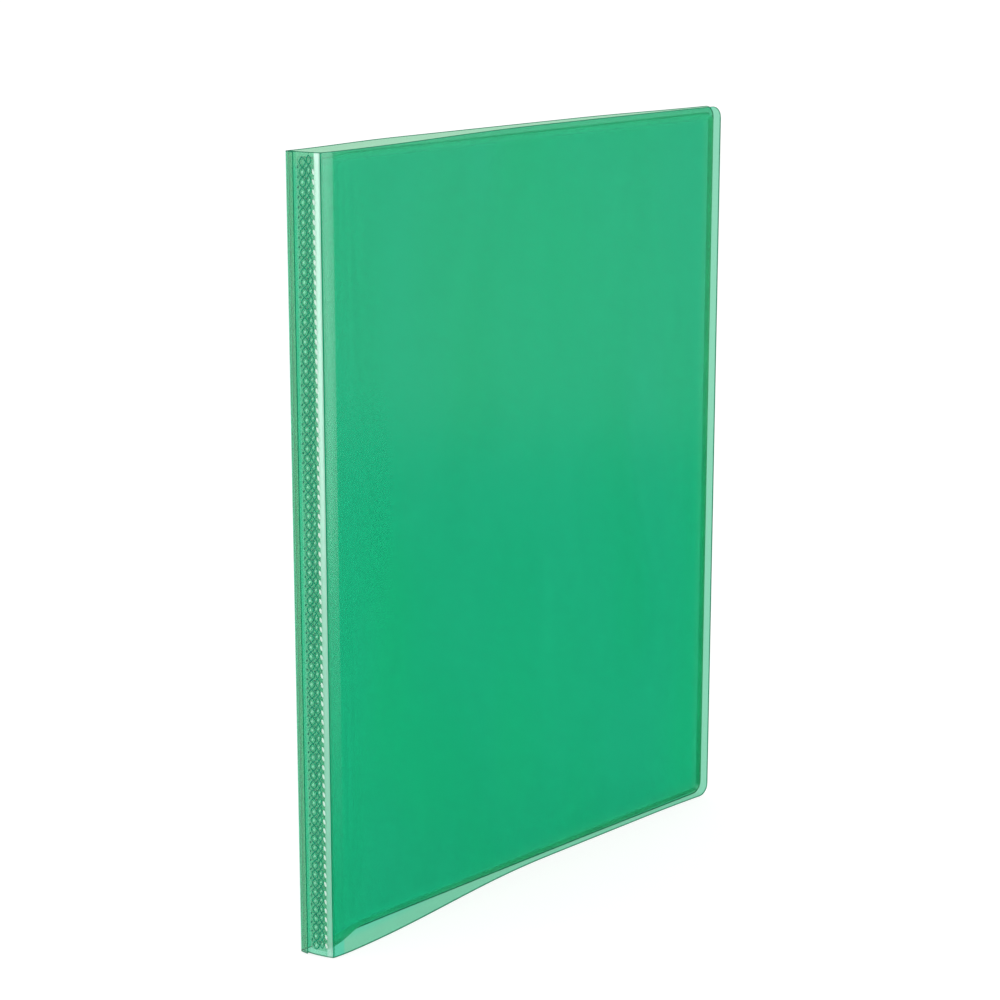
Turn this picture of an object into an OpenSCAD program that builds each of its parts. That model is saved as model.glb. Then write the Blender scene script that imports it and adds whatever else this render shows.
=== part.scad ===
// A4 display album: two translucent covers folded from a narrow spine sheet, with
// twenty clear film pockets welded to a strip inside the spine.
// It stands on its bottom edges, with the origin at the centre of its footprint:
// +X points to the fore-edge, -Y out of the front cover and +Z up.
// The plan is drawn in two distances: u runs from the back crease to the fore-edge,
// and v from the outer face of the back cover to the front.

/* [Covers] */
// Height of the covers
cover_h = 310; // [260:5:330]
// Width of the back cover, crease to fore-edge
cover_w = 240; // [210:5:260]
// Thickness of the cover sheet
sheet_t = 0.5; // [0.4:0.05:0.5]
// Radius of the fore-edge corners
corner_r = 5; // [2:0.5:10]
// Thickness of the album where the covers press on the pockets
closed_t = 3.6; // [3.6:0.1:4.4]
// How much further out the front cover leaves its crease
spring_out = 11.1; // [10.5:0.1:11.5]
// How far the front cover curls out again at the fore-edge
flare = 1.3; // [0:0.1:2]
// How far the back cover bows out between its crease and its fore-edge
back_bow = 2; // [1.8:0.1:2.5]

/* [Spine] */
// How far the spine sheet bows out between its creases
spine_bow = 0.6; // [0.3:0.1:0.8]
// Width of the flap that laps over the spine from the back crease
flap_w = 3.9; // [3:0.1:4.2]

/* [Pockets] */
// Number of pockets
pocket_count = 20; // [20:20]
// Thickness of one flat pocket, both films together
pocket_t = 0.08; // [0.06:0.01:0.08]
// Distance from one pocket to the next where they lie flat
pocket_pitch = 0.12; // [0.11:0.005:0.12]
// How far the pockets stop short of the cover at the top and at the bottom
pocket_short = 2.5; // [2:0.5:6]
// How far the pockets stop short of the fore-edge
pocket_inset = 3; // [2:0.5:10]

/* [Hidden] */

$fn = 48;
slit = 0.02;                    // space between faces that touch
crease_r = sheet_t / 2;         // a crease is a bead as thick as the sheet
crease_gap = 0.65;              // from a crease's middle to the sheet on either side
bulk = 40;                      // longer than anything measured across the covers
steps = 40;                     // straight pieces in one long curve

// Front cover: where its slope to the pockets starts and how long that slope is
slope_start = 6;
slope_len = 130;
// Small turn beside the crease, by which the sheet bulges out of it
tuck = 0.6;
tuck_len = 3;
flare_start = 200;
flare_len = 40;
front_end = cover_w - 0.4;

// Back cover: where its bow is full and where it starts to go back
bow_full = 60;
bow_back = 160;

back_crease_at = [crease_r, crease_r];
front_crease_u = 4.65;
front_crease_at = [front_crease_u, front_v(front_crease_u)];

// The spine sheet starts beneath the flap
spine_start = [1.05, 1.0];

// The weld strip has a round inner face, from which the pockets leave
weld_at = [1.4, 7.9];
weld_r = 4.05;
weld_half_angle = 52;
weld_low = 4.6;
weld_high = 11.2;
weld_short = 2;
root_r = weld_r + 0.15;
root_half_angle = 45;
bend_end = 34;                  // the pockets lie flat from here on

mid_u = cover_w / 2;
mid_v = (max([for (p = front_outline()) p.y]) + min([for (p = back_outline()) p.y])) / 2;

// 1 before a curve starts and 0 after it ends, with level ends
function ease(t) = (1 + cos(180 * min(1, max(0, t)))) / 2;

// Middle of the front cover's sheet
function front_v(u) = closed_t - sheet_t / 2
    + spring_out * ease((u - slope_start) / slope_len)
    - tuck * exp(-(u - front_crease_u) / tuck_len)
    + flare * pow(max(0, u - flare_start) / flare_len, 2);

// Middle of the back cover's sheet
function back_v(u) = crease_r
    - back_bow * (1 - ease(u / bow_full)) * ease((u - bow_back) / (cover_w - bow_back));

// A sheet of thickness t around the line p
function across(p, i) = let (d = p[min(i + 1, len(p) - 1)] - p[max(i - 1, 0)])
    [-d.y, d.x] / norm(d);
function side(p, offset) = [for (i = [0:len(p) - 1]) p[i] + offset * across(p, i)];
function turned(p) = [for (i = [len(p) - 1:-1:0]) p[i]];
function sheet(p, t) = concat(side(p, t / 2), turned(side(p, -t / 2)));

// The front cover's line takes short steps beside the crease and long ones after it
function front_line() = let (start = front_crease_u + crease_gap)
    [for (i = [0:steps]) let (u = start + (front_end - start) * pow(i / steps, 1.6))
        [u, front_v(u)]];
function front_outline() = sheet(front_line(), sheet_t);

function back_line() = let (start = back_crease_at.x + crease_gap)
    [for (i = [0:steps]) let (u = start + (cover_w - start) * i / steps) [u, back_v(u)]];
function back_outline() = sheet(back_line(), sheet_t);

// Spine sheet: a shallow bow from beneath the flap to the front crease
function spine_at(t) = let (chord = front_crease_at - spine_start)
    spine_start + t * chord + 4 * spine_bow * t * (1 - t) * [-chord.y, chord.x] / norm(chord);
spine_stop = 1 - crease_gap / norm(front_crease_at - spine_start);
function spine_line(t0, t1, n) = [for (i = [0:n]) spine_at(t0 + (t1 - t0) * i / n)];
function spine_t(v) = (v - spine_start.y) / (front_crease_at.y - spine_start.y);

function flap_line() = [[crease_r, crease_r + crease_gap], [crease_r + 0.15, flap_w]];

function weld_outline() = concat(
    side(spine_line(spine_t(weld_low), spine_t(weld_high), 12), -sheet_t / 2 - slit),
    [for (a = [weld_half_angle:-4:-weld_half_angle]) weld_at + weld_r * [cos(a), sin(a)]]);

// Pocket i of pocket_count, counted from the back cover
function root_angle(i) = root_half_angle * (2 * (i - 1) / (pocket_count - 1) - 1);
function root(i) = weld_at + root_r * [cos(root_angle(i)), sin(root_angle(i))];
function flat_v(i) = sheet_t + 0.1 + pocket_t / 2 + (i - 1) * pocket_pitch;
function pocket_line(i) = let (r = root(i), flat = flat_v(i)) concat(
    [for (k = [0:16]) let (u = r.x + (bend_end - r.x) * k / 16)
        [u, flat + (r.y - flat) * ease(k / 16)]],
    [[cover_w - pocket_inset, flat]]);
function pocket_name(i) = str("pocket_", i < 10 ? "0" : "", i);

// A plan outline in u and v, raised from z0 to z1 in the album's own axes
module raise(outline, z0, z1)
    translate([-mid_u, mid_v, z0]) mirror([0, 1, 0]) linear_extrude(z1 - z0) polygon(outline);

// A thin rod along a vertical line in the plan
module rod(at, r, z0, z1)
    translate([at.x - mid_u, mid_v - at.y, z0]) cylinder(r = r, h = z1 - z0);

// The front view of a cover whose fore-edge is at u: rounded corners at the fore-edge only
module cover_face(u) {
    translate([-bulk, 0]) square([bulk + u - corner_r, cover_h]);
    translate([0, corner_r]) square([u, cover_h - 2 * corner_r]);
    for (z = [corner_r, cover_h - corner_r]) translate([u - corner_r, z]) circle(corner_r);
}

module cover(outline, fore_edge)
    intersection() {
        raise(outline, 0, cover_h);
        translate([-mid_u, bulk, 0]) rotate([90, 0, 0]) linear_extrude(2 * bulk)
            cover_face(fore_edge);
    }

module front_cover() color([0.05, 0.66, 0.47, 0.7]) cover(front_outline(), front_end);

module back_cover() color([0.05, 0.62, 0.44, 0.7]) cover(back_outline(), cover_w);

module spine_panel() color([0.35, 0.76, 0.6, 0.7])
    raise(sheet(spine_line(0, spine_stop, 24), sheet_t), 0, cover_h);

module spine_flap() color([0.2, 0.7, 0.52, 0.7])
    raise(sheet(flap_line(), sheet_t), 0, cover_h);

// Bead of the seam that joins the flap to the spine sheet
module flap_seam() color([0.6, 0.85, 0.75])
    rod([0.75, 2.2], 0.16, weld_short, cover_h - weld_short);

module front_crease() color([0.1, 0.6, 0.42]) rod(front_crease_at, crease_r, 0, cover_h);

module back_crease() color([0.1, 0.6, 0.42]) rod(back_crease_at, crease_r, 0, cover_h);

module weld_strip() color([0.75, 0.92, 0.85])
    raise(weld_outline(), weld_short, cover_h - weld_short);

module pocket(i) color([0.85, 0.95, 0.9, 0.5])
    raise(sheet(pocket_line(i), pocket_t), pocket_short, cover_h - pocket_short);

front_cover();
back_cover();
spine_panel();
spine_flap();
flap_seam();
front_crease();
back_crease();
weld_strip();
for (i = [1:pocket_count])
    pocket(i);
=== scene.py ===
import math

import bpy
import numpy as np
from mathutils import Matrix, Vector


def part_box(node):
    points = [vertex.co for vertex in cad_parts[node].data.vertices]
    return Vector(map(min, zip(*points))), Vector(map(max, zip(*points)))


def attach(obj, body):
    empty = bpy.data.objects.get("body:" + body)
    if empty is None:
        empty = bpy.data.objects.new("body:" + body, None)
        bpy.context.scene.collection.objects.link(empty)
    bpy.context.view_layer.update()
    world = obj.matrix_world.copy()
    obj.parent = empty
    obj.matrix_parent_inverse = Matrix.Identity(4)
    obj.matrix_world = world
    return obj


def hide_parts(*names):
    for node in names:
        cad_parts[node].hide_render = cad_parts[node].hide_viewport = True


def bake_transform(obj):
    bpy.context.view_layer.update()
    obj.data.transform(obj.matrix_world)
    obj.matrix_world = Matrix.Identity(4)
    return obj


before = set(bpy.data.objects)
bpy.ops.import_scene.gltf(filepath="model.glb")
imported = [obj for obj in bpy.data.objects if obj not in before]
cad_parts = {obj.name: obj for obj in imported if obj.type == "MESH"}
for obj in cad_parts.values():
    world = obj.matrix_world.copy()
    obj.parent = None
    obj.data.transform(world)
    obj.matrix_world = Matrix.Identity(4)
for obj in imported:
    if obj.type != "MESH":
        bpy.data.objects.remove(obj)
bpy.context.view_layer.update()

# ---------------------------------------------------------------- the album's own numbers, in mm
# u runs from the back crease to the fore-edge, v from the back cover to the front, z up.
MM = 0.001
H = 310.0
WIDTH = 240.0
SHEET = 0.5
CORNER = 5.0
GAP = 0.65              # from a crease to where the cover's own sheet starts
RIM = 0.22              # the darker line along a cut edge
EDGE_BULGE = 0.05       # how far a cut edge stands out along its middle
COVER_COLUMNS, COVER_ROWS = 70, 64
COLUMN_SPREAD = 1.5     # above 1, the columns are closer together near the crease
CORNER_STEPS = 10
STRIP_ROWS = 40

FRONT_END = WIDTH - 0.4
FRONT_CREASE_U = 4.65
SHEEN_STRIP_END = 10.0        # the front cover is paler up to here: a whitish haze painted as the lamps' reflection, fading out at the foot
FRONT_REST = 3.35       # v of the front sheet where it lies on the pockets
SLOPE_HIGH = 11.1       # how far in front of that its slope starts, next to the spine
SLOPE_START, SLOPE_LENGTH = 6, 130
DIP, DIP_LENGTH = 0.6, 3                        # pressed in a little next to the crease
LIFT, LIFT_START, LIFT_LENGTH = 1.3, 200, 40    # and lifted again at the fore-edge

BOW = 2.0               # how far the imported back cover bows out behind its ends
FOOT_BOW, TOP_BOW = 0.6, 5.0                    # the same for this sheet, at its foot and its top
BOW_GROWTH = 1.3        # above 1, most of the growth from foot to top is near the top
BOW_RISE = 60           # the bow grows over this length from the crease
BOW_FALL_START, BOW_FALL = 160, 80              # and dies away towards the fore-edge

SPINE_BOW = 0.6
HIGHLIGHT_BAND_START = 11.95      # from here to the front crease the spine carries a painted highlight, a whitish haze that is weaker near the foot

POCKETS = 20
FILM = 0.07
PITCH = 0.12
FIRST_FLAT = SHEET + 0.14                       # v of the rearmost pocket
SHORT = 2.5             # the pockets end this far inside the covers' top and foot
POCKET_END = WIDTH - 3.0
POCKET_CORNER = 4.0
BEND_END = 34.0
WELD_AT = np.array([1.4, 7.9])
ROOT_R = 4.2
FAN = 45                # degrees round the weld from its middle to its first or last pocket
SEAM, MOUTH, FILM_RIM = 1.6, 3.0, 0.5

PERIOD = 3.64           # one link of the weld's chain pattern
LINKS = 83
FIRST_LINK = 4.2
BROAD_V, BROAD_SWING, BROAD_R = 7.2, 1.3, 0.24
NARROW_V, NARROW_SWING, NARROW_R, NARROW_RISE = 9.7, 0.85, 0.2, 0.9


def ease(t):
    """1 up to t = 0, 0 from t = 1 and smooth in between."""
    return (1 + np.cos(np.pi * np.clip(t, 0, 1))) / 2


def front_v(u):
    """Middle of the front cover's sheet."""
    u = np.asarray(u, float)
    return (FRONT_REST + SLOPE_HIGH * ease((u - SLOPE_START) / SLOPE_LENGTH)
            - DIP * np.exp(-(u - FRONT_CREASE_U) / DIP_LENGTH)
            + LIFT * (np.maximum(0, u - LIFT_START) / LIFT_LENGTH) ** 2)


def back_v(u, bow=BOW):
    """Middle of the back cover's sheet."""
    u = np.asarray(u, float)
    return SHEET / 2 - bow * (1 - ease(u / BOW_RISE)) * ease((u - BOW_FALL_START) / BOW_FALL)


FRONT_CREASE = np.array([FRONT_CREASE_U, float(front_v(FRONT_CREASE_U))])
BACK_CREASE = np.array([SHEET / 2, SHEET / 2])
SPINE_START = np.array([1.05, 1.0])

# The row frame has the covers' middle in X and the plan's middle in Y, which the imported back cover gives.
MID_U = WIDTH / 2
MID_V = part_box("back_cover")[1].y / MM - BOW


def row(u, v, z):
    """Plan distances in mm to a point in the row frame in metres."""
    u, v, z = np.broadcast_arrays(np.asarray(u, float), np.asarray(v, float), np.asarray(z, float))
    return np.stack([(u - MID_U) * MM, (MID_V - v) * MM, z * MM], -1)


# ---------------------------------------------------------------- meshes
def make_object(name, verts, faces, slots=None, smooth=True, sharp=None):
    """A mesh in the row frame, with a slot for each face and its sharp edges as pairs of vertices."""
    mesh = bpy.data.meshes.new(name)
    mesh.from_pydata([tuple(map(float, p)) for p in verts], [], [tuple(map(int, f)) for f in faces])
    mesh.update()
    mesh.validate()
    ob = bpy.data.objects.new(name, mesh)
    bpy.context.scene.collection.objects.link(ob)
    if smooth:
        mesh.polygons.foreach_set("use_smooth", [True] * len(mesh.polygons))
    if slots is not None:
        mesh.polygons.foreach_set("material_index", [int(s) for s in slots])
    if sharp:
        mark = set(tuple(sorted(map(int, e))) for e in sharp)
        flags = [tuple(sorted(e.vertices)) in mark for e in mesh.edges]
        attribute = mesh.attributes.new("sharp_edge", "BOOLEAN", "EDGE")
        attribute.data.foreach_set("value", flags)
    return ob


def around(idx):
    """The outermost vertices of a grid in order: along its foot, up its end, back along its top
    and down its start."""
    n, m = idx.shape
    return ([idx[i, 0] for i in range(n)] + [idx[n - 1, j] for j in range(1, m)]
            + [idx[i, m - 1] for i in range(n - 2, -1, -1)] + [idx[0, j] for j in range(m - 2, 0, -1)])


def slab(name, side_a, side_b, bulge=EDGE_BULGE, border="zu", joined=()):
    """A closed thin sheet. side_a and side_b are (n, m, 3) grids of points in mm plan form
    (u, v, z), one for each face. Slot 0 is the faces and slot 1 the cut edge, with the outermost
    rows (z in border) and the last column (u in border) of the faces. An end of the sheet that
    is named in joined meets the next sheet, and stays in slot 0."""
    n, m = side_a.shape[:2]
    a = row(side_a[..., 0], side_a[..., 1], side_a[..., 2]).reshape(-1, 3)
    b = row(side_b[..., 0], side_b[..., 1], side_b[..., 2]).reshape(-1, 3)
    faces, slots = [], []
    idx = np.arange(n * m).reshape(n, m)
    for i in range(n - 1):
        for j in range(m - 1):
            q = (idx[i, j], idx[i + 1, j], idx[i + 1, j + 1], idx[i, j + 1])
            faces.append(q)
            faces.append(tuple(reversed([x + n * m for x in q])))
            edge = ("z" in border and j in (0, m - 2)) or ("u" in border and i == n - 2)
            slots += [int(edge)] * 2
    loop = around(idx)
    # The cut edge is two strips about a middle line that stands slightly proud.
    middle = (a[loop] + b[loop]) / 2
    out = middle - middle.mean(0)
    out /= np.maximum(np.linalg.norm(out, axis=1), 1e-9)[:, None]
    rim = middle + out * bulge * MM
    base = 2 * n * m
    k = len(loop)
    sharp = []
    end_from, end_to, start_from = n - 1, n + m - 2, 2 * n + m - 3
    for s in range(k):
        t = (s + 1) % k
        cut = not (("end" in joined and end_from <= s < end_to) or ("start" in joined and s >= start_from))
        faces.append((loop[t], loop[s], base + s, base + t))
        faces.append((loop[s] + n * m, loop[t] + n * m, base + t, base + s))
        slots += [int(cut)] * 2
        sharp += [(loop[s], loop[t]), (loop[s] + n * m, loop[t] + n * m)]
    return make_object(name, np.concatenate([a, b, rim]), faces, slots, sharp=sharp)


def normals_of(u, v):
    """Unit vectors across a plan line, on its left."""
    du, dv = np.gradient(u), np.gradient(v)
    length = np.hypot(du, dv)
    return -dv / length, du / length


def gathered(n):
    """Shares of a cover's height from 0 to 1: a narrow one at each end, and n that gather towards them."""
    s = np.linspace(0, 1, n)
    s = 0.5 - 0.5 * np.cos(np.pi * s) * (0.35 + 0.65 * np.abs(np.cos(np.pi * s)))
    s = RIM / H + (1 - 2 * RIM / H) * (s - s[0]) / (s[-1] - s[0])
    return np.concatenate([[0], s, [1]])


def faces_of(u, v, thick):
    """Plan lines of both faces of a sheet whose middle is a plan line."""
    nu, nv = normals_of(u, v)
    return [(u + nu * side, v + nv * side) for side in (thick / 2, -thick / 2)]


def cover_grid(u, middle, thick, end, s, low=0.0, high=H, corner=CORNER):
    """Both faces of a sheet with two round corners at its end: columns at u, rows at shares s of
    its height, and middle, a function of (u, z) that gives the v of the sheet's middle."""
    over = np.clip(u - (end - corner), 0, corner)
    inset = corner - np.sqrt(np.maximum(corner ** 2 - over ** 2, 0))
    z = low + inset[:, None] + (high - low - 2 * inset)[:, None] * s[None, :]
    uu = np.repeat(u[:, None], len(s), 1)
    vv = middle(uu, z)
    grids = np.empty((2, len(u), len(s), 3))
    for j in range(len(s)):
        for grid, (face_u, face_v) in zip(grids, faces_of(uu[:, j], vv[:, j], thick)):
            grid[:, j] = np.stack([face_u, face_v, z[:, j]], -1)
    return grids


def columns(start, end):
    """u of a cover's columns: closer together near its crease and round its corners."""
    near = start + (end - CORNER - start) * np.linspace(0, 1, COVER_COLUMNS) ** COLUMN_SPREAD
    # One column is moved on to the line where the pale strip, a painted reflection, ends.
    near[np.argmin(np.abs(near - SHEEN_STRIP_END))] = SHEEN_STRIP_END
    arc = end - CORNER + CORNER * np.sin(np.linspace(0, np.pi / 2, CORNER_STEPS + 1)[1:-1])
    arc = arc[arc < end - RIM - 0.1]
    return np.concatenate([near, arc, [end - RIM, end]])


# ---------------------------------------------------------------- materials
def nodes_of(name):
    mat = bpy.data.materials.new(name)
    mat.use_nodes = True
    tree = mat.node_tree
    tree.nodes.clear()
    out = tree.nodes.new("ShaderNodeOutputMaterial")
    return mat, tree, out


def feed(tree, socket, value):
    """Set a socket to a number, or link another socket to it."""
    if isinstance(value, (int, float)):
        socket.default_value = value
    else:
        tree.links.new(value, socket)


def maths(tree, operation, *values):
    node = tree.nodes.new("ShaderNodeMath")
    node.operation = operation
    for socket, value in zip(node.inputs, values):
        feed(tree, socket, value)
    return node.outputs[0]


def mixed(tree, share, first, second):
    """The first shader, with this share of the second."""
    node = tree.nodes.new("ShaderNodeMixShader")
    feed(tree, node.inputs["Fac"], share)
    tree.links.new(first, node.inputs[1])
    tree.links.new(second, node.inputs[2])
    return node.outputs[0]


def noise(tree, scale, detail=0.0, rough=0.5, stretch=(1, 1, 1)):
    coord = tree.nodes.new("ShaderNodeTexCoord")
    mapping = tree.nodes.new("ShaderNodeMapping")
    mapping.inputs["Scale"].default_value = stretch
    tex = tree.nodes.new("ShaderNodeTexNoise")
    tex.inputs["Scale"].default_value = scale
    tex.inputs["Detail"].default_value = detail
    tex.inputs["Roughness"].default_value = rough
    tree.links.new(coord.outputs["Object"], mapping.inputs["Vector"])
    tree.links.new(mapping.outputs["Vector"], tex.inputs["Vector"])
    return tex.outputs["Fac"]


def ramp(tree, socket, colours):
    node = tree.nodes.new("ShaderNodeValToRGB")
    for element, (position, colour) in zip(node.color_ramp.elements, colours):
        element.position = position
        element.color = (*colour, 1)
    tree.links.new(socket, node.inputs["Fac"])
    return node.outputs["Color"]


def bump(tree, height, distance, under=None):
    """A bumped normal, on top of another one where under is given."""
    node = tree.nodes.new("ShaderNodeBump")
    node.inputs["Distance"].default_value = distance
    tree.links.new(height, node.inputs["Height"])
    if under is not None:
        tree.links.new(under, node.inputs["Normal"])
    return node.outputs["Normal"]


def gloss_share(tree, head_on, grazing, power):
    """A mix factor that grows towards grazing views."""
    facing = tree.nodes.new("ShaderNodeLayerWeight")
    facing.inputs["Blend"].default_value = 0.5
    steep = maths(tree, "POWER", facing.outputs["Facing"], power)
    return maths(tree, "MULTIPLY_ADD", steep, grazing, head_on)


def span(tree, socket, start, end):
    """0 before start, 1 after end and smooth in between."""
    node = tree.nodes.new("ShaderNodeMapRange")
    node.interpolation_type = "SMOOTHSTEP"
    node.inputs["From Min"].default_value = start
    node.inputs["From Max"].default_value = end
    tree.links.new(socket, node.inputs["Value"])
    return node.outputs["Result"]


def faded(tree, low, high, *ramps):
    """A share that goes from low to high along each ramp: an axis, where it starts and where it
    ends in metres. The highest of the ramps counts."""
    coord = tree.nodes.new("ShaderNodeTexCoord")
    parts = tree.nodes.new("ShaderNodeSeparateXYZ")
    tree.links.new(coord.outputs["Object"], parts.inputs["Vector"])
    shares = [span(tree, parts.outputs[axis], start, end) for axis, start, end in ramps]
    total = shares[0]
    for share in shares[1:]:
        total = maths(tree, "MAXIMUM", total, share)
    return maths(tree, "MULTIPLY_ADD", total, high - low, low)


# The share of gloss seen head-on, what a grazing view adds to it and how sharply that grows.
SATIN = (0.035, 0.6, 4.0)
SHEET_GRAIN = 2600.0
WELD_GRAIN = 2000.0
WAVES, WAVE_STRETCH = 9.0, (1, 1, 0.35)
CLOUDS = 14.0


def clear_sheet(name, tint, body, haze, roughness, grain=SHEET_GRAIN, depth=0.00001, gloss=SATIN,
                wave_depth=0.0, fade=None, pale=None, pale_ramps=()):
    """Translucent plastic: tinted see-through, a little scattered light and a satin gloss.
    tint is what one face lets through and body the colour of the scattered light. fade gives the
    haze where its ramp starts, and that ramp. The tint turns to pale along pale_ramps."""
    mat, tree, out = nodes_of(name)
    link = tree.links.new
    normal = bump(tree, noise(tree, grain, 2.0, 0.6), depth)
    if wave_depth:
        normal = bump(tree, noise(tree, WAVES, 1.0, 0.4, WAVE_STRETCH), wave_depth, normal)
    cloud = noise(tree, CLOUDS, 4.0, 0.6)

    see = tree.nodes.new("ShaderNodeBsdfTransparent")
    if pale:
        shades = ramp(tree, faded(tree, 0.0, 1.0, *pale_ramps), [(0.0, tint), (1.0, pale)])
    else:
        low, high = (tuple(min(1, c * share) for c in tint) for share in (0.994, 1.006))
        shades = ramp(tree, cloud, [(0.3, low), (0.7, high)])
    link(shades, see.inputs["Color"])

    scatter = tree.nodes.new("ShaderNodeBsdfPrincipled")
    scatter.inputs["Roughness"].default_value = 0.6
    scatter.inputs["Specular IOR Level"].default_value = 0.0
    darker = tuple(c * 0.94 for c in body)
    link(ramp(tree, cloud, [(0.3, darker), (0.7, body)]), scatter.inputs["Base Color"])
    link(normal, scatter.inputs["Normal"])
    through = tree.nodes.new("ShaderNodeBsdfTranslucent")
    through.inputs["Color"].default_value = (*body, 1)
    hazy = mixed(tree, 0.5, scatter.outputs[0], through.outputs[0])

    haze_share = faded(tree, fade[0], haze, fade[1]) if fade else haze
    shine = tree.nodes.new("ShaderNodeBsdfGlossy")
    shine.inputs["Roughness"].default_value = roughness
    shine.inputs["Color"].default_value = (1, 1, 1, 1)
    link(normal, shine.inputs["Normal"])
    plastic = mixed(tree, haze_share, see.outputs[0], hazy)
    link(mixed(tree, gloss_share(tree, *gloss), plastic, shine.outputs[0]), out.inputs["Surface"])
    return mat


COVER_TINT = (0.39, 0.83, 0.70)
COVER_BODY = (0.10, 0.58, 0.42)
# The whitish scatter of the spine band and the front cover's strip is painted highlight and reflection.
PAINTED_SHEEN_WHITE = (0.85, 0.96, 0.90)
COVER_WAVES = 0.0002
# The front cover is paler along its foot and fore-edge, the back cover along its top and fore-edge.
FRONT_PALE = (("Z", 0.010, 0.004), ("X", 0.1130, 0.1155))
BACK_PALE = (("Z", 0.302, 0.307), ("X", 0.1125, 0.1165))

cover_mat = clear_sheet("cover_green", COVER_TINT, COVER_BODY, 0.01, 0.2, wave_depth=COVER_WAVES,
                        pale=(0.51, 0.825, 0.69), pale_ramps=FRONT_PALE)
back_mat = clear_sheet("back_cover_green", COVER_TINT, COVER_BODY, 0.01, 0.2, wave_depth=COVER_WAVES,
                       pale=(0.62, 0.83, 0.70), pale_ramps=BACK_PALE)
# A whitish haze painted as the lamps' reflection along the front cover by its crease, none at the foot.
painted_sheen_strip_mat = clear_sheet("cover_strip_painted_sheen", COVER_TINT, PAINTED_SHEEN_WHITE, 0.11, 0.2, fade=(0.0, ("Z", 0.0, 0.25)))
# A whitish haze painted as the lamps' highlight on the spine next to the front crease, weaker near the
# foot.
painted_highlight_band_mat = clear_sheet("spine_band_painted_highlight", (0.6, 0.88, 0.8), PAINTED_SHEEN_WHITE, 0.55, 0.16, fade=(0.3, ("Z", 0.0, 0.2)))
edge_mat = clear_sheet("cut_edge_green", (0.25, 0.65, 0.5), (0.02, 0.26, 0.16), 0.75, 0.3,
                       gloss=(0.01, 0.1, 4.0))
spine_mat = clear_sheet("spine_green", (0.5, 0.85, 0.72), (0.45, 0.78, 0.62), 0.1, 0.16, depth=0.000003)
# A dark green painted as shade along the crease of each fold.
fold_painted_shade_mat = clear_sheet("fold_painted_shade", (0.2, 0.72, 0.52), (0.0, 0.26, 0.15), 0.7, 0.3,
                       gloss=(0.012, 0.1, 4.0))
weld_mat = clear_sheet("weld_block", (0.75, 0.9, 0.84), (0.62, 0.86, 0.75), 0.12, 0.2, WELD_GRAIN, 0.00002)
ridge_mat = clear_sheet("weld_ridge", (0.2, 0.68, 0.5), (0.02, 0.46, 0.29), 0.7, 0.25, WELD_GRAIN,
                        gloss=(0.02, 0.3, 4.0))
# Dark green painted as shade in the weld's recesses.
painted_shade_pit_mat = clear_sheet("weld_pit_painted_shade", (0.15, 0.6, 0.4), (0.0, 0.30, 0.18), 0.8, 0.3, WELD_GRAIN)
mint_mat = clear_sheet("weld_mint", (0.55, 0.93, 0.8), (0.45, 0.98, 0.76), 0.75, 0.12, WELD_GRAIN)
# Near-white painted as the lamps' glints on the weld's bumps by the front crease.
painted_glint_mat = clear_sheet("weld_painted_glint", (0.8, 0.95, 0.88), (0.95, 1.0, 0.97), 0.9, 0.1, WELD_GRAIN)

FILM_TINT = (0.985, 0.9987, 0.9975)
STREAK_COLOUR = (0.4, 0.88, 0.72, 1)
STREAKS, STREAK_STRETCH = 22.0, (1, 60, 0.4)
STREAK_SHARES = [(0.56, (0, 0, 0)), (0.75, (0.04, 0.04, 0.04))]


def clear_film(tree):
    see = tree.nodes.new("ShaderNodeBsdfTransparent")
    see.inputs["Color"].default_value = (*FILM_TINT, 1)
    return see.outputs[0]


def film():
    """Thin clear film: see-through, with faint milky streaks where the sheets touch and part."""
    mat, tree, out = nodes_of("pocket_film")
    milk = tree.nodes.new("ShaderNodeBsdfPrincipled")
    milk.inputs["Base Color"].default_value = STREAK_COLOUR
    milk.inputs["Roughness"].default_value = 0.6
    milk.inputs["Specular IOR Level"].default_value = 0.0
    streaks = ramp(tree, noise(tree, STREAKS, stretch=STREAK_STRETCH), STREAK_SHARES)
    tree.links.new(mixed(tree, streaks, clear_film(tree), milk.outputs[0]), out.inputs["Surface"])
    return mat


def milky_film(name, share, colours):
    """The film where it is whitened: along its rims and welds and at its mouth."""
    mat, tree, out = nodes_of(name)
    colour = ramp(tree, noise(tree, 60.0), [(0.3, colours[0]), (0.7, colours[1])])
    milk = tree.nodes.new("ShaderNodeBsdfPrincipled")
    milk.inputs["Roughness"].default_value = 0.35
    tree.links.new(colour, milk.inputs["Base Color"])
    glow = tree.nodes.new("ShaderNodeBsdfTranslucent")
    tree.links.new(colour, glow.inputs["Color"])
    milky = mixed(tree, 0.5, milk.outputs[0], glow.outputs[0])
    tree.links.new(mixed(tree, share, clear_film(tree), milky), out.inputs["Surface"])
    return mat


PALE_MILK = ((0.6, 0.9, 0.8), (0.7, 0.95, 0.86))
RIM_MILK = ((0.42, 0.70, 0.58), (0.48, 0.76, 0.64))
film_mat = film()
rim_film_mat = milky_film("film_rim", 0.5, RIM_MILK)
mouth_film_mat = milky_film("film_mouth", 0.02, PALE_MILK)
seam_film_mat = milky_film("film_seam", 0.012, PALE_MILK)


def wear(ob, *mats):
    """Materials in slot order. Clearing a mesh's materials also resets its faces' slots, so only
    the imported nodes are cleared."""
    if len(ob.data.materials):
        ob.data.materials.clear()
    for m in mats:
        ob.data.materials.append(m)


def slots_of(ob):
    index = np.zeros(len(ob.data.polygons), int)
    ob.data.polygons.foreach_get("material_index", index)
    return index


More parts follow.
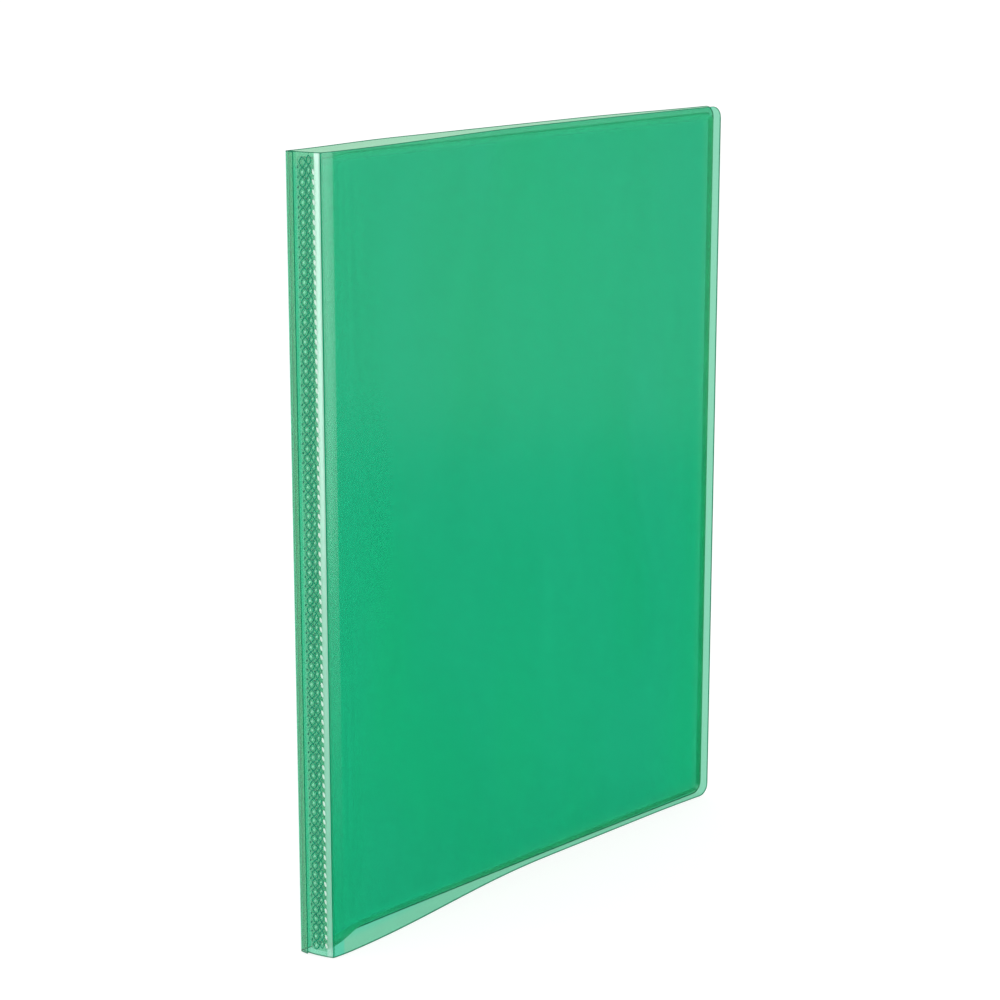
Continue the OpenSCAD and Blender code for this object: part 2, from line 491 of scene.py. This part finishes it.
def recolour(ob, inside, slot):
    """Give slot to the faces of slot 0 whose middles (in mm, in plan form) are inside."""
    index = slots_of(ob)
    middles = np.array([p.center for p in ob.data.polygons]) / MM
    chosen = inside(middles[:, 0] + MID_U, MID_V - middles[:, 1], middles[:, 2])
    index[(index == 0) & chosen] = slot
    ob.data.polygons.foreach_set("material_index", index)


# ---------------------------------------------------------------- covers
def front_middle(u, z):
    return front_v(u)


def back_middle(u, z):
    """The back cover bows out more at the top than at the foot."""
    return back_v(u, FOOT_BOW + (TOP_BOW - FOOT_BOW) * np.clip(z / H, 0, 1) ** BOW_GROWTH)


u = columns(FRONT_CREASE_U + GAP, FRONT_END)
front = slab("front_cover_sheet", *cover_grid(u, front_middle, SHEET, FRONT_END, gathered(COVER_ROWS)),
             joined=("start",))
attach(front, "front_cover")
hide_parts("front_cover")
recolour(front, lambda u, v, z: u < SHEEN_STRIP_END, 2)
wear(front, cover_mat, edge_mat, painted_sheen_strip_mat)

u = columns(BACK_CREASE[0] + GAP, WIDTH)
back = slab("back_cover_sheet", *cover_grid(u, back_middle, SHEET, WIDTH, gathered(COVER_ROWS)),
            joined=("start",))
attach(back, "back_cover")
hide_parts("back_cover")
wear(back, back_mat, edge_mat)


# ---------------------------------------------------------------- spine
def spine_at(t):
    """Middle of the spine's sheet, t from 0 at the back to 1 at the front crease."""
    chord = FRONT_CREASE - SPINE_START
    n = np.array([-chord[1], chord[0]]) / np.linalg.norm(chord)
    t = np.asarray(t, float)[..., None]
    return SPINE_START + t * chord + 4 * SPINE_BOW * t * (1 - t) * n


def strip_grid(line):
    """Both faces of an upright strip whose middle follows a plan line."""
    z = np.concatenate([[0], np.linspace(RIM, H - RIM, STRIP_ROWS - 2), [H]])
    sides = []
    for u, v in faces_of(line[:, 0], line[:, 1], SHEET):
        sides.append(np.stack(np.broadcast_arrays(u[:, None], v[:, None], z), -1))
    return sides


SPINE_STOP = 1 - GAP / np.linalg.norm(FRONT_CREASE - SPINE_START)
spine_line = spine_at(np.linspace(0, SPINE_STOP, 40))
spine = slab("spine_sheet", *strip_grid(spine_line), border="z", joined=("end",))
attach(spine, "spine")
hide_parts("spine_panel")
recolour(spine, lambda u, v, z: v > HIGHLIGHT_BAND_START, 2)
wear(spine, spine_mat, edge_mat, painted_highlight_band_mat)

FLAP_START = np.array([0.25, 0.9])
flap_line = np.array([FLAP_START, [0.25, 1.2], [0.27, 1.8], [0.31, 2.5], [0.36, 3.2], [0.38, 3.55],
                      [0.4, 3.9]])
flap = slab("spine_flap_sheet", *strip_grid(flap_line), border="z", joined=("start",))
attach(flap, "spine")
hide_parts("spine_flap")
wear(flap, spine_mat, edge_mat)


def bezier(p0, p1, p2, n):
    t = np.linspace(0, 1, n)[:, None]
    return (1 - t) ** 2 * p0 + 2 * t * (1 - t) * p1 + t ** 2 * p2


FOLD_STEPS, SHADE_FROM, SHADE_TO = 12, 5, 8


def fold(name, node, p0, corner, p2, lead, trail):
    """A short strip that bends between the spine and a cover. It has the spine's look up to its
    crease line, which is painted dark as shade in the fold, and the cover's look after it."""
    line = bezier(p0, corner, p2, FOLD_STEPS + 1)
    ob = slab(name, *strip_grid(line), border="z", joined=("start", "end"))
    index = slots_of(ob)
    column = 2 * (STRIP_ROWS - 1)
    for i in range(FOLD_STEPS):
        slot = 0 if i < SHADE_FROM else 2 if i < SHADE_TO else 3
        # The first and last pair of a column's faces are its cut edge.
        index[i * column + 2:(i + 1) * column - 2] = slot
    ob.data.polygons.foreach_set("material_index", index)
    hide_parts(node)
    wear(ob, lead, edge_mat, fold_painted_shade_mat, trail)
    tuple(row(*p0, H / 2))
    tuple(row(*p2, H / 2))
    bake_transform(ob)


front_start = np.array([FRONT_CREASE_U + GAP, float(front_v(FRONT_CREASE_U + GAP))])
fold("front_fold", "front_crease", spine_line[-1], FRONT_CREASE + np.array([-0.1, 0.12]),
     front_start, painted_highlight_band_mat, painted_sheen_strip_mat)
back_start = np.array([BACK_CREASE[0] + GAP, float(back_v(BACK_CREASE[0] + GAP))])
fold("back_fold", "back_crease", FLAP_START, BACK_CREASE + np.array([0.02, 0.02]),
     back_start, spine_mat, cover_mat)


# ---------------------------------------------------------------- the weld's chain pattern on the spine
fine = spine_at(np.linspace(0, SPINE_STOP, 400))
fine_nu, fine_nv = normals_of(fine[:, 0], fine[:, 1])


def on_spine(v, z, proud):
    """A point over the spine's outer face, proud mm out from it."""
    v = np.asarray(v, float)
    u = np.interp(v, fine[:, 1], fine[:, 0])
    nu, nv = np.interp(v, fine[:, 1], fine_nu), np.interp(v, fine[:, 1], fine_nv)
    lift = SHEET / 2 + proud
    return row(u + nu * lift, v + nv * lift, z)


def strand(v, z, radius, sides=6):
    """A closed, slightly flattened bead along (v, z) on the spine's face."""
    dv, dz = np.gradient(v), np.gradient(z)
    length = np.hypot(dv, dz)
    cv, cz = dz / length, -dv / length
    rounds = []
    for k in range(sides):
        a = 2 * np.pi * k / sides
        out, up = radius * math.cos(a), 0.7 * radius * math.sin(a)
        rounds.append(on_spine(v + cv * out, z + cz * out, up))
    verts = np.stack(rounds, 1).reshape(-1, 3)
    n = len(v)
    faces = []
    for i in range(n - 1):
        here, there = i * sides, (i + 1) * sides
        for k in range(sides):
            t = (k + 1) % sides
            faces.append((here + k, here + t, there + t, there + k))
    faces.append(tuple(range(sides - 1, -1, -1)))
    faces.append(tuple(range((n - 1) * sides, n * sides)))
    return verts, faces


DOME_RINGS = ((1.0, -0.3), (1.0, 0.25), (0.72, 0.8))    # shares of its outline and its thickness


def button(v, z, wide, high, thick, slant, sides=10):
    """A low closed dome on the spine's face, an ellipse turned by slant degrees."""
    turn_c, turn_s = math.cos(math.radians(slant)), math.sin(math.radians(slant))
    verts, faces = [], []
    for share, lift in DOME_RINGS:
        for k in range(sides):
            a = 2 * math.pi * k / sides
            p, q = wide * share * math.cos(a), high * share * math.sin(a)
            verts.append(on_spine(v + p * turn_c - q * turn_s, z + p * turn_s + q * turn_c, thick * lift))
    verts.append(on_spine(v, z, thick))
    for r in range(len(DOME_RINGS) - 1):
        here, there = r * sides, (r + 1) * sides
        for k in range(sides):
            t = (k + 1) % sides
            faces.append((here + k, here + t, there + t, there + k))
    top = (len(DOME_RINGS) - 1) * sides
    for k in range(sides):
        faces.append((top + k, top + (k + 1) % sides, len(verts) - 1))
    faces.append(tuple(range(sides - 1, -1, -1)))
    return np.array(verts), faces


def gather(parts):
    """One mesh of several."""
    verts, faces, count = [], [], 0
    for v, f in parts:
        verts.append(np.asarray(v))
        faces += [tuple(i + count for i in face) for face in f]
        count += len(v)
    return np.concatenate(verts), faces


def spine_detail(name, parts, mat):
    ob = make_object(name, *gather(parts))
    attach(ob, "spine")
    wear(ob, mat)


# Two pairs of wavy beads cross and part again.
z = np.linspace(FIRST_LINK - 0.5 * PERIOD, FIRST_LINK + (LINKS + 0.5) * PERIOD, LINKS * 12)
swing = np.cos(np.pi * (z - FIRST_LINK) / PERIOD)
chain = [strand(BROAD_V + side * BROAD_SWING * swing, z, BROAD_R) for side in (-1, 1)]
chain += [strand(NARROW_V + side * NARROW_SWING * swing, z + NARROW_RISE, NARROW_R) for side in (-1, 1)]
spine_detail("weld_chain", chain, ridge_mat)

# Marks in and beside each link: v, height in the link, half width, half height, thickness, slant.
SPOTS = ((BROAD_V, 0.0, 0.42, 0.6, 0.2, -20), (9.75, NARROW_RISE, 0.25, 0.6, 0.16, -30))
# The pits are dark pads painted as shade in the recesses beside each crossing.
SHADE_PITS = ((5.3, 0.5 * PERIOD, 0.3, 0.6, 0.06, -20), (8.6, 0.4 * PERIOD, 0.25, 0.5, 0.06, 20))
# The dashes are whitish pads painted as glints of the lamps on the weld's bumps.
GLINT_DASHES = ((11.45, 0.3, 0.4, 1.1, 0.2, 12),)


def marks(shapes):
    """The same marks in every link of the chain."""
    made = []
    for k in range(LINKS):
        for v, rise, wide, high, thick, slant in shapes:
            made.append(button(v, FIRST_LINK + k * PERIOD + rise, wide, high, thick, slant))
    return made


spine_detail("weld_spots", marks(SPOTS), mint_mat)
spine_detail("weld_shade_pits", marks(SHADE_PITS), painted_shade_pit_mat)
spine_detail("weld_glint_dashes", marks(GLINT_DASHES), painted_glint_mat)

wear(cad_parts["flap_seam"], weld_mat)
wear(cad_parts["weld_strip"], weld_mat)


# ---------------------------------------------------------------- pockets
POCKET_HIGH = H - 2 * SHORT
POCKET_ROWS = np.concatenate([[0, FILM_RIM / POCKET_HIGH, SEAM / POCKET_HIGH], np.linspace(0.02, 0.975, 16),
                              [1 - MOUTH / POCKET_HIGH, 1 - FILM_RIM / POCKET_HIGH, 1]])


def pocket_line(i, root):
    """u and v along a pocket: it bends from its root to its place in the stack, where it is flat."""
    flat = FIRST_FLAT + (i - 1) * PITCH
    t = np.linspace(0, 1, 17)
    bend_u = root[0] + (BEND_END - root[0]) * t
    bend_v = flat + (root[1] - flat) * ease(t)
    straight_end = POCKET_END - POCKET_CORNER
    rest_u = np.linspace(BEND_END, straight_end, 16)[1:]
    end_u = straight_end + POCKET_CORNER * np.sin(np.linspace(0, np.pi / 2, 6)[1:])
    flat_v = np.full(len(rest_u) + len(end_u), flat)
    return np.concatenate([bend_u, rest_u, end_u]), np.concatenate([bend_v, flat_v])


def add_pocket(i):
    name = f"pocket_{i:02d}"
    angle = math.radians(FAN * (2 * (i - 1) / (POCKETS - 1) - 1))
    root = WELD_AT + ROOT_R * np.array([math.cos(angle), math.sin(angle)])
    line_u, line_v = pocket_line(i, root)

    def middle(u, z):
        return np.interp(u.ravel(), line_u, line_v).reshape(u.shape)

    grids = cover_grid(line_u, middle, FILM, POCKET_END, POCKET_ROWS, SHORT, H - SHORT, POCKET_CORNER)
    pocket = slab(name + "_film", *grids, bulge=0.0, border="")
    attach(pocket, name)
    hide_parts(name)
    foot, top, end = SHORT, H - SHORT, POCKET_END
    recolour(pocket, lambda u, v, z: (z < foot + FILM_RIM) | (z > top - FILM_RIM) | (u > end - FILM_RIM), 1)
    recolour(pocket, lambda u, v, z: z > top - MOUTH, 2)
    recolour(pocket, lambda u, v, z: (z < foot + SEAM) | (u > end - SEAM) | (u < root[0] + SEAM), 3)
    wear(pocket, film_mat, rim_film_mat, mouth_film_mat, seam_film_mat)
    pocket.visible_shadow = False


for number in range(1, POCKETS + 1):
    add_pocket(number)


# ---------------------------------------------------------------- stage, light and camera
def floor_white():
    """Matt white that also glows a little, as a light table does, so that shadows stay faint."""
    mat, tree, out = nodes_of("floor_white")
    shader = tree.nodes.new("ShaderNodeBsdfPrincipled")
    shader.inputs["Base Color"].default_value = (0.3, 0.3, 0.3, 1)
    shader.inputs["Roughness"].default_value = 0.9
    shader.inputs["Specular IOR Level"].default_value = 0.0
    shader.inputs["Emission Color"].default_value = (1, 1, 1, 1)
    shader.inputs["Emission Strength"].default_value = 0.76
    tree.links.new(shader.outputs[0], out.inputs["Surface"])
    return mat


FLOOR, FLOOR_Z = 4.0, -0.0004
floor_corners = [(x * FLOOR, y * FLOOR, FLOOR_Z) for x, y in ((-1, -1), (1, -1), (1, 1), (-1, 1))]
floor = make_object("floor", floor_corners, [(0, 1, 2, 3)], smooth=False)
wear(floor, floor_white())
floor.visible_glossy = False

world = bpy.data.worlds.new("studio")
bpy.context.scene.world = world
world.use_nodes = True
world.node_tree.nodes["Background"].inputs["Color"].default_value = (1, 1, 1, 1)
world.node_tree.nodes["Background"].inputs["Strength"].default_value = 1.06
world.cycles_visibility.glossy = False


PANEL_DISTANCE = 0.8


def softbox(name, angle, width, low, high, brightness, about=(0.0, 0.0)):
    """An upright panel that faces a point of the plan. angle is the panel's, from +X towards +Y,
    low and high are its edges and brightness is its radiance."""
    light = bpy.data.lights.new(name, "AREA")
    light.shape = "RECTANGLE"
    light.size, light.size_y = width, high - low
    light.energy = brightness * math.pi * width * (high - low)
    ob = bpy.data.objects.new(name, light)
    bpy.context.scene.collection.objects.link(ob)
    a = math.radians(angle)
    ob.location = (about[0] + PANEL_DISTANCE * math.cos(a), about[1] + PANEL_DISTANCE * math.sin(a),
                   (low + high) / 2)
    ob.rotation_euler = (math.radians(90), 0, a + math.radians(90))
    ob.visible_camera = False
    ob.visible_transmission = False


NEAR_SPINE = (-0.115, -0.007)
softbox("left_back", 150, 0.74, -0.55, 0.6, 1.4, NEAR_SPINE)
softbox("left_strip", 179.6, 0.08, -0.07, 0.6, 9.0, NEAR_SPINE)
softbox("front_strip", -60, 0.20, -0.07, 0.6, 2.0, NEAR_SPINE)
softbox("front_right", -39, 0.44, 0.0, 0.6, 0.4)

SENSOR = 36.0
FOCAL_SHARE = 2.497     # of the frame's width
TILT, TURN = 13.29, 45.54

cam = bpy.data.cameras.new("camera")
cam.sensor_width = SENSOR
cam.lens = FOCAL_SHARE * SENSOR
cam.shift_y = -0.05
cam.clip_start, cam.clip_end = 0.01, 50
camera = bpy.data.objects.new("camera", cam)
bpy.context.scene.collection.objects.link(camera)
camera.location = (-0.7064, -0.6776, 0.4115)
camera.rotation_euler = (math.radians(90 - TILT), 0.0, math.radians(-TURN))
bpy.context.scene.camera = camera

scene = bpy.context.scene
scene.view_settings.view_transform = "Standard"
scene.cycles.transparent_max_bounces = 128
scene.cycles.max_bounces = 12
